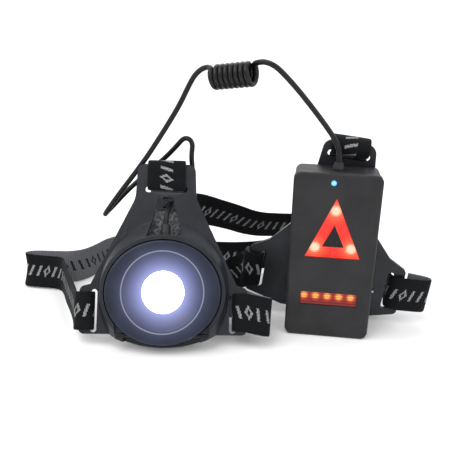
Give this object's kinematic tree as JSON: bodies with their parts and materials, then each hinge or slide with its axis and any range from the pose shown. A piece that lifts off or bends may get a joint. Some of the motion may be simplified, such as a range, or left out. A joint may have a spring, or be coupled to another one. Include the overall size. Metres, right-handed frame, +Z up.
{
  "type": "chest-worn running light",
  "caption": "Chest-worn running light: tilting round lamp on a padded plate, red-signal battery case on a back plate, elastic straps and a part-coiled cable.",
  "frame": {"origin": "middle of the footprint of the set as it stands, without the cable, on the surface it rests on", "axes": "+Z up, both lights face -Y, +X from the lamp plate towards the battery case"},
  "size_m": [0.2446, 0.1272, 0.1449],
  "materials": {
    "plate_plastic": "fine matt moulded texture",
    "pad_foam": "perforated foam with knitted face",
    "soft_rubber": "satin",
    "steel": "plain",
    "case_plastic": "fine matt moulded texture",
    "seal_rubber": "satin",
    "red_lens": "clear red, lit from behind",
    "dark_badge": "satin",
    "bar_red_lens": "clear dark red with ribs",
    "led_chip": "glowing",
    "amber_led": "glowing",
    "blue_led": "glowing",
    "blue_pipe": "clear blue, lit from behind",
    "green_board": "solder mask",
    "white_tape": "plain",
    "cell_wrap": "pouch foil",
    "black_plastic": "plain",
    "button_rubber": "satin",
    "webbing": "woven elastic with a pale geometric motif",
    "cable_jacket": "satin",
    "bezel_plastic": "soft gloss",
    "bright_trim": "polished",
    "lamp_lens": "frosted, lit from behind",
    "aluminium": "turned",
    "white_board": "white solder mask",
    "lamp_led": "glowing",
    "slider_plastic": "satin"
  },
  "bodies": {
    "frame": {"front_plate": "plate_plastic", "front_pad": "pad_foam", "lamp_gland": "soft_rubber", "hinge_pins": "steel", "case_cover": "case_plastic", "case_body": "case_plastic", "case_seal": "seal_rubber", "triangle_lens": "red_lens", "triangle_badge": "dark_badge", "triangle_leds": "led_chip", "bar_lens": "bar_red_lens", "bar_leds": "amber_led", "indicator_pipe": "blue_pipe", "indicator_led": "blue_led", "circuit_board": "green_board", "battery_tape": "white_tape", "battery_cell": "cell_wrap", "tact_switch": "black_plastic", "usb_socket": "steel", "usb_cover_pin": "steel", "case_gland": "soft_rubber", "case_screws": "steel", "rear_plate": "plate_plastic", "rear_pad": "pad_foam", "left_strap": "webbing", "right_strap": "webbing", "shoulder_strap": "webbing", "cord_lamp_side": "cable_jacket", "cord_coil": "cable_jacket", "cord_case_side": "cable_jacket"},
    "lamp_head": {"lamp_bezel": "bezel_plastic", "lamp_trim_ring": "bright_trim", "lamp_lens": "lamp_lens", "lamp_shell": "plate_plastic", "heat_sink": "aluminium", "led_board": "white_board", "led_emitter": "lamp_led", "lens_seal": "seal_rubber", "lamp_screws": "steel"},
    "power_button": {"power_button": "button_rubber"},
    "usb_cover": {"usb_cover": "soft_rubber"},
    "left_slider": {"left_slider": "slider_plastic"},
    "right_slider": {"right_slider": "slider_plastic"},
    "shoulder_slider": {"shoulder_slider": "slider_plastic"}
  },
  "joints": [
    {"name": "head_tilt", "type": "hinge", "parent": "frame", "child": "lamp_head", "pos_m": [-0.02581, -0.05812, 0.00918], "axis": [0.9995, 0.0314, 0], "range_deg": [0, 60]},
    {"name": "power_press", "type": "slide", "parent": "frame", "child": "power_button", "axis": [-0.9932, 0.1167, 0], "range_m": [0, 0.0007], "stiffness_N_per_m": 1500},
    {"name": "usb_cover_swing", "type": "hinge", "parent": "frame", "child": "usb_cover", "pos_m": [0.08571, -0.03232, 0.027], "axis": [0.1167, 0.9932, 0], "range_deg": [0, 110]},
    {"name": "left_slider_shift", "type": "slide", "parent": "frame", "child": "left_slider", "axis": [0.8849, -0.4657, 0], "range_m": [-0.008, 0.01]},
    {"name": "right_slider_shift", "type": "slide", "parent": "frame", "child": "right_slider", "axis": [-0.8849, 0.4657, 0], "range_m": [-0.01, 0.01]},
    {"name": "shoulder_slider_shift", "type": "slide", "parent": "frame", "child": "shoulder_slider", "axis": [-0.0856, -0.0994, 0.9914], "range_m": [-0.007, 0.01]}
  ]
}
